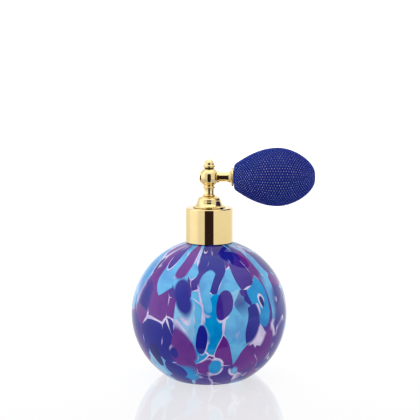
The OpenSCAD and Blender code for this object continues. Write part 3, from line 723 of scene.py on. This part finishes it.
# %% [markdown]
# ## The bulb in its net
# The squeeze bulb is soft rubber, and a net of silky thread is knitted over it and gathered by a
# cord at each end. It follows the bulb closely, so the bulb's outline comes first: straight off the
# ferrule, round a small corner, out to the widest place and back in to the tail. Two or three curves
# with few points do this better than a long list of points would.

# %% Bulb outline
net_x0, net_x1 = net_low.x, net_high.x
disc_r = disc_high.z - arm_z
corner = (net_x0 + 1.75 * MM, disc_r + 2.6 * MM)
widest = (net_x0 + 22.6 * MM, bulb_r)
tail = (net_x1, 2.2 * MM)
front, back = widest[0] - corner[0], tail[0] - widest[0]

bulb_line = [(net_x0, disc_r)]
bulb_line += bend(
    bulb_line[0], (net_x0, disc_r + 1.4 * MM), (corner[0] - 1.0 * MM, corner[1] - 0.65 * MM),
    corner, 6,
)
bulb_line += bend(
    corner, (corner[0] + 0.19 * front, corner[1] + 0.34 * (bulb_r - corner[1])),
    (widest[0] - 0.46 * front, bulb_r), widest, 22,
)
bulb_line += bend(
    widest, (widest[0] + 0.44 * back, bulb_r), (tail[0] - 0.03 * back, 0.55 * bulb_r), tail, 22,
)
print("the bulb's outline has", len(bulb_line), "points")

# %% [markdown]
# The outside of the net is the outline of the bulb. The threads swing in and out about a line that
# lies deeper by their own thickness and that of a stitch, so nothing stands out past the outline.
# This line is kept as a curve object for the node tree to sample.

# %% Guide curve for the threads
thread_r = 0.24 * MM
thread_lift = 0.10 * MM
stitch_rise = 0.09 * MM
stitch_r = 0.40 * MM
stitch_flatness = 0.20
guide_points = inset(bulb_line, thread_r + thread_lift + stitch_rise)
guide_points = [(x, r) for x, r in guide_points if net_x0 + thread_r < x < net_x1 - thread_r]
guide_points = (
    [(net_x0 + 2 * thread_r, neck_cord_high.z - arm_z)] + guide_points
    + [(net_x1 - 2 * thread_r, tail_high.z - arm_z)]
)
guide_data = bpy.data.curves.new("bulb_guide", "CURVE")
guide_data.dimensions = "3D"
spline = guide_data.splines.new("POLY")
spline.points.add(len(guide_points) - 1)
for point, (x, r) in zip(spline.points, guide_points):
    point.co = (x, 0, r, 1)
guide = make_object("bulb_guide", guide_data)
print("guide", round(spline.calc_length() / MM, 1), "mm long")

# %% [markdown]
# The net could be a bump in a material, but its threads stand out at the edge of the bulb, so it is
# made of real threads. A knitting machine makes loops. Here the loops are simplified to a rule: two
# families of threads wind round the bulb in opposite directions and pass over and under each other,
# with a flat stitch at every crossing. That is work for Geometry Nodes, because a change of one
# number knits the whole net again.

# %% Geometry Nodes: the knitted net
STRANDS, ROWS = 32, 78


def knitting_tree():
    """Threads and stitches on a guide curve turned about an axis parallel to X."""
    tree = bpy.data.node_groups.new("knitted_net", "GeometryNodeTree")
    faces = tree.interface
    for label, kind, value in (
        ("Guide", "NodeSocketObject", None), ("Strands", "NodeSocketInt", 48),
        ("Rows", "NodeSocketInt", 58), ("Thread Radius", "NodeSocketFloat", 0.0002),
        ("Lift", "NodeSocketFloat", 0.0001), ("Stitch Radius", "NodeSocketFloat", 0.0003),
        ("Stitch Flatness", "NodeSocketFloat", 0.5),
        ("Axis Height", "NodeSocketFloat", 0.1), ("Yarn", "NodeSocketMaterial", None),
    ):
        socket = faces.new_socket(label, in_out="INPUT", socket_type=kind)
        if value is not None:
            socket.default_value = value
    faces.new_socket("Geometry", in_out="OUTPUT", socket_type="NodeSocketGeometry")
    given = tree.nodes.new("NodeGroupInput").outputs
    result = tree.nodes.new("NodeGroupOutput")
    outline = node(tree, "GeometryNodeObjectInfo", transform_space="ORIGINAL", inputs={
        "Object": given["Guide"],
    }).outputs["Geometry"]
    turns = sums(tree, "DIVIDE", given["Rows"], sums(tree, "MULTIPLY", given["Strands"], 2.0))
    share = node(tree, "GeometryNodeInputNamedAttribute", data_type="FLOAT", inputs={"Name": "strand"})
    share = share.outputs["Attribute"]

    def wound(geometry, along, start, way, lifted):
        """Geometry set on the bulb, and the way out there. Along and start are shares, 0 to 1."""
        on_line = node(tree, "GeometryNodeSampleCurve", mode="FACTOR", inputs={
            "Curves": outline, "Factor": along,
        })
        across = node(tree, "ShaderNodeSeparateXYZ", inputs={0: on_line.outputs["Position"]}).outputs
        angle = sums(tree, "ADD", start, sums(
            tree, "MULTIPLY", sums(tree, "MULTIPLY", along, turns), way
        ))
        angle = sums(tree, "MULTIPLY", angle, 2 * math.pi)
        if lifted:
            beat = sums(tree, "COSINE", sums(
                tree, "MULTIPLY", sums(tree, "MULTIPLY", along, given["Rows"]), math.pi
            ))
            rise = sums(tree, "MULTIPLY", sums(tree, "MULTIPLY", beat, way), given["Lift"])
        else:
            rise = sums(tree, "ADD", given["Thread Radius"], given["Lift"])
        reach = sums(tree, "ADD", across[2], rise)
        spot = node(tree, "ShaderNodeCombineXYZ", inputs={
            0: across[0],
            1: sums(tree, "MULTIPLY", reach, sums(tree, "COSINE", angle)),
            2: sums(tree, "ADD", given["Axis Height"], sums(
                tree, "MULTIPLY", reach, sums(tree, "SINE", angle)
            )),
        })
        placed = node(tree, "GeometryNodeSetPosition", inputs={
            "Geometry": geometry, "Position": spot.outputs[0],
        }).outputs[0]
        slope = node(tree, "ShaderNodeSeparateXYZ", inputs={0: on_line.outputs["Tangent"]}).outputs
        facing = node(tree, "ShaderNodeCombineXYZ", inputs={
            0: sums(tree, "MULTIPLY", slope[2], -1),
            1: sums(tree, "MULTIPLY", slope[0], sums(tree, "COSINE", angle)),
            2: sums(tree, "MULTIPLY", slope[0], sums(tree, "SINE", angle)),
        })
        return placed, facing.outputs[0]

    join = tree.nodes.new("GeometryNodeJoinGeometry")
    circle = node(tree, "GeometryNodeCurvePrimitiveCircle", inputs={
        "Resolution": 5, "Radius": given["Thread Radius"],
    }).outputs[0]
    for way in (1.0, -1.0):
        starts = node(tree, "GeometryNodeMeshLine", inputs={"Count": given["Strands"]}).outputs[0]
        number = node(tree, "GeometryNodeInputIndex").outputs[0]
        starts = node(tree, "GeometryNodeStoreNamedAttribute", data_type="FLOAT", inputs={
            "Geometry": starts, "Name": "strand",
            "Value": sums(tree, "DIVIDE", number, given["Strands"]),
        }).outputs[0]
        line = node(tree, "GeometryNodeCurvePrimitiveLine").outputs[0]
        line = node(tree, "GeometryNodeResampleCurve", inputs={
            "Curve": line, "Count": sums(tree, "MULTIPLY", given["Rows"], 3.0),
        }).outputs[0]
        laid = node(tree, "GeometryNodeInstanceOnPoints", inputs={
            "Points": starts, "Instance": line,
        }).outputs[0]
        laid = node(tree, "GeometryNodeRealizeInstances", inputs={"Geometry": laid}).outputs[0]
        along = node(tree, "GeometryNodeSplineParameter").outputs["Factor"]
        laid = wound(laid, along, share, way, True)[0]
        thread = node(tree, "GeometryNodeCurveToMesh", inputs={
            "Curve": laid, "Profile Curve": circle, "Fill Caps": True,
        }).outputs[0]
        tree.links.new(thread, join.inputs[0])
    count = sums(tree, "MULTIPLY", given["Strands"], given["Rows"])
    marks = node(tree, "GeometryNodeMeshLine", inputs={"Count": count}).outputs[0]
    number = node(tree, "GeometryNodeInputIndex").outputs[0]
    row = sums(tree, "FLOOR", sums(tree, "DIVIDE", sums(tree, "ADD", number, 0.5), given["Strands"]))
    strand = sums(tree, "DIVIDE", number, given["Strands"])
    along = sums(tree, "DIVIDE", row, given["Rows"])
    marks, facing = wound(marks, along, strand, 1.0, False)
    turned_out = node(tree, "FunctionNodeAlignRotationToVector", axis="Z", inputs={
        "Vector": facing,
    }).outputs[0]
    bead = node(tree, "GeometryNodeMeshUVSphere", inputs={
        "Segments": 6, "Rings": 3, "Radius": given["Stitch Radius"],
    }).outputs[0]
    bead = node(tree, "GeometryNodeStoreNamedAttribute", data_type="FLOAT", inputs={
        "Geometry": bead, "Name": "stitch", "Value": 1.0,
    }).outputs[0]
    size = node(tree, "FunctionNodeRandomValue", data_type="FLOAT", inputs={
        2: 0.65, 3: 1.15, "Seed": 4,
    }).outputs[1]
    pressed = node(tree, "ShaderNodeCombineXYZ", inputs={
        0: size, 1: size, 2: sums(tree, "MULTIPLY", size, given["Stitch Flatness"]),
    }).outputs[0]
    stitches = node(tree, "GeometryNodeInstanceOnPoints", inputs={
        "Points": marks, "Instance": bead, "Rotation": turned_out, "Scale": pressed,
    }).outputs[0]
    tree.links.new(stitches, join.inputs[0])
    whole = node(tree, "GeometryNodeRealizeInstances", inputs={"Geometry": join.outputs[0]}).outputs[0]
    whole = node(tree, "GeometryNodeSetShadeSmooth", inputs={"Geometry": whole}).outputs[0]
    whole = node(tree, "GeometryNodeSetMaterial", inputs={
        "Geometry": whole, "Material": given["Yarn"],
    }).outputs[0]
    tree.links.new(whole, result.inputs[0])
    return tree


knit = knitting_tree()
print("the knitting tree has", len(knit.nodes), "nodes")

# %% [markdown]
# The yarn is royal blue and silky. A fine silver tape runs along with it and shows at the stitches
# only.
# Tape is flat, so it glints where it is seen straight on and dulls towards the edge of the bulb. A
# sharp gloss and a lamp would be closer to the real thing, but the lamp also leaves white spots on the
# gold.
# So the glint is a painted highlight: a paler colour that grows as a stitch faces the eye, through the
# Layer Weight node, and it doesn't depend on where the light stands.

# %% Material: yarn
def yarn_material():
    """Silky royal blue yarn, with a painted highlight on the stitches where they face the eye."""
    material, tree, shader = principled("net_knit", Roughness=0.6, Specular_IOR_Level=0.05)
    fibre = use_group(tree, grain, Size=0.4 * MM, Detail=3.0)
    drift = use_group(tree, grain, Size=16 * MM, Detail=2.0)
    yarn = mixed(tree, fibre.outputs["Mask"], linear("#1a3092"), linear("#2a4ab0"))
    yarn = mixed(tree, drift.outputs["Mask"], yarn, linear("#26369c"))
    stitch = node(tree, "ShaderNodeAttribute", attribute_name="stitch").outputs["Fac"]
    # Painted highlight: the mask grows as a stitch faces the eye.
    turned_away = node(tree, "ShaderNodeLayerWeight", inputs={"Blend": 0.5}).outputs["Facing"]
    glint = node(tree, "ShaderNodeMapRange", interpolation_type="SMOOTHSTEP", inputs={
        "Value": turned_away, "From Min": 0.24, "From Max": 0.02,
    }).outputs["Result"]
    worn = node(tree, "ShaderNodeMapRange", inputs={
        "Value": fibre.outputs["Mask"], "To Min": 0.35, "To Max": 1.0,
    }).outputs["Result"]
    # The painted highlight on the stitches, varied in strength by the fibre grain, mixes in pale
    # lilac.
    painted_glint = sums(tree, "MULTIPLY", sums(tree, "MULTIPLY", stitch, glint), worn)
    yarn = mixed(tree, painted_glint, yarn, linear("#dcd4fa"))
    tree.links.new(yarn, shader.inputs["Base Color"])
    bump = node(tree, "ShaderNodeBump", inputs={
        "Height": fibre.outputs["Height"], "Strength": 0.5, "Distance": 0.04 * MM,
    })
    tree.links.new(bump.outputs[0], shader.inputs["Normal"])
    return material


yarn = yarn_material()
print("yarn has", len(yarn.node_tree.nodes), "nodes")

# %% [markdown]
# The tree is run once on an empty object, and its result is kept as a plain mesh. A live modifier
# could not be parted into two halves.

# %% Knit the net
def set_input(modifier, label, value):
    """One named input of a Geometry Nodes modifier, through the socket's identifier."""
    for item in modifier.node_group.interface.items_tree:
        if item.item_type == "SOCKET" and item.in_out == "INPUT" and item.name == label:
            modifier[item.identifier] = value


knitting = make_object("knitting", bpy.data.meshes.new("knitting"))
modifier = knitting.modifiers.new("knitted_net", "NODES")
modifier.node_group = knit
for label, value in (
    ("Guide", guide), ("Strands", STRANDS), ("Rows", ROWS), ("Thread Radius", thread_r),
    ("Lift", thread_lift), ("Stitch Radius", stitch_r), ("Stitch Flatness", stitch_flatness),
    ("Axis Height", arm_z), ("Yarn", yarn),
):
    set_input(modifier, label, value)
bpy.context.view_layer.update()
ready = knitting.evaluated_get(bpy.context.evaluated_depsgraph_get())
net_mesh = bpy.data.meshes.new_from_object(ready)
bpy.data.objects.remove(knitting)
bpy.data.objects.remove(guide)
print("the net has", len(net_mesh.polygons), "faces")

# %% [markdown]
# When the bulb is squeezed its two sides move towards the arm's axis, while the neck, the tail and
# the middle stay. So the net and the rubber are parted at the middle into two halves.


def half_of(mesh, name, side):
    """A copy of the mesh on one side of the arm's axis, with its cut ends closed."""
    part = bmesh.new()
    part.from_mesh(mesh)
    bmesh.ops.bisect_plane(
        part, geom=part.verts[:] + part.edges[:] + part.faces[:], dist=1e-9,
        plane_co=(0, 0, arm_z), plane_no=(0, 0, side), clear_inner=True,
    )
    ends = [e for e in part.edges if e.is_boundary]
    bmesh.ops.holes_fill(part, edges=ends, sides=0)
    made = bpy.data.meshes.new(name)
    part.to_mesh(made)
    part.free()
    for material in mesh.materials:
        made.materials.append(material)
    return make_object(name, made)


def squeezes(piece):
    """The piece's place is baked into its mesh."""
    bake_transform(piece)


for name, body, side in (("net_upper", "upper_half", 1), ("net_lower", "lower_half", -1)):
    part = half_of(net_mesh, name, side)
    squeezes(part)
    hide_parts("net_cover")
    print(name, "has", len(part.data.polygons), "faces")

# %% [markdown]
# Under the net lies the rubber. It is moulded in one piece, dull and dark blue, and its wall is thick
# enough to spring back. Each half is a half turn of the same outline, drawn in by the net.

# %% Rubber bulb
rubber_wall = 1.8 * MM
rubber_depth = bulb_r - seat_high.y
lip = 0.3 * MM
tail_lip_r = 2.9 * MM
fit_gap = 0.05 * MM
neck_end = spigot_high.x - 3 * MM
rubber_line = [
    (x, r) for x, r in inset(bulb_line, rubber_depth) if seat_low.x + lip < x < seat_high.x - lip
]
skin = [(seat_low.x, rubber_line[0][1] - lip)] + rubber_line + [(seat_high.x, tail_lip_r)]
lining = [(x, r) for x, r in inset(rubber_line, rubber_wall) if neck_end < x < plug_low.x]
spigot_r = spigot_high.y + fit_gap
plug_r = plug_high.y + fit_gap
section = [(r, x) for x, r in skin]
section += [(plug_r, seat_high.x), (plug_r, plug_low.x)]
section += [(r, x) for x, r in reversed(lining)]
section += [(spigot_r, neck_end), (spigot_r, seat_low.x)]
for name, body, side, start in (
    ("rubber_upper", "upper_half", 1, 0), ("rubber_lower", "lower_half", -1, 180),
):
    part = turned(name, section, sideways, sides=64, start=start, sweep=180)
    part.data.materials.append(finishes["bulb_rubber"])
    squeezes(part)
    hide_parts("bulb_upper" if side > 0 else "bulb_lower")
    print(name, "has", len(part.data.polygons), "faces")

# %% [markdown]
# ## The two gathering cords
# A thin cord is threaded through the first loops of the net and pulled tight behind the ferrule, and
# another at the tail. A cord is laid from three plies, so its section is three lobes that turn as it
# goes round. That is one loop over the sections of a ring.

# %% Gathering cords
PLIES = 3


def cord_ring(name, low, high, lays, sections=240, corners=18):
    """A ring of laid cord about the arm's axis that fills the box from low to high."""
    cord_r = (high.x - low.x) / 2
    ring_r = high.y - cord_r
    shape = bmesh.new()
    rings = []
    for i in range(sections):
        angle = 2 * math.pi * i / sections
        ring = []
        for k in range(corners):
            way = 2 * math.pi * k / corners
            reach = cord_r * (0.84 + 0.15 * math.cos(PLIES * way - lays * angle))
            ring.append(shape.verts.new(
                sideways(ring_r + reach * math.cos(way), low.x + cord_r + reach * math.sin(way), angle)
            ))
        rings.append(ring)
    for near, far in zip(rings, rings[1:] + rings[:1]):
        for k in range(corners):
            after = (k + 1) % corners
            shape.faces.new([near[k], near[after], far[after], far[k]])
    bmesh.ops.recalc_face_normals(shape, faces=shape.faces)
    mesh = bpy.data.meshes.new(name)
    shape.to_mesh(mesh)
    shape.free()
    mesh.shade_smooth()
    mesh.materials.append(yarn)
    return make_object(name, mesh)


for name, node_name, low, high, lays in (
    ("neck_cord", "net_neck_cord", neck_cord_low, neck_cord_high, 24),
    ("tail_cord", "net_tail_cord", tail_low, tail_high, 6),
):
    cord = cord_ring(name, low, high, lays)
    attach(cord, "head")
    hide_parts(node_name)
    print(name, "has", len(cord.data.polygons), "faces")
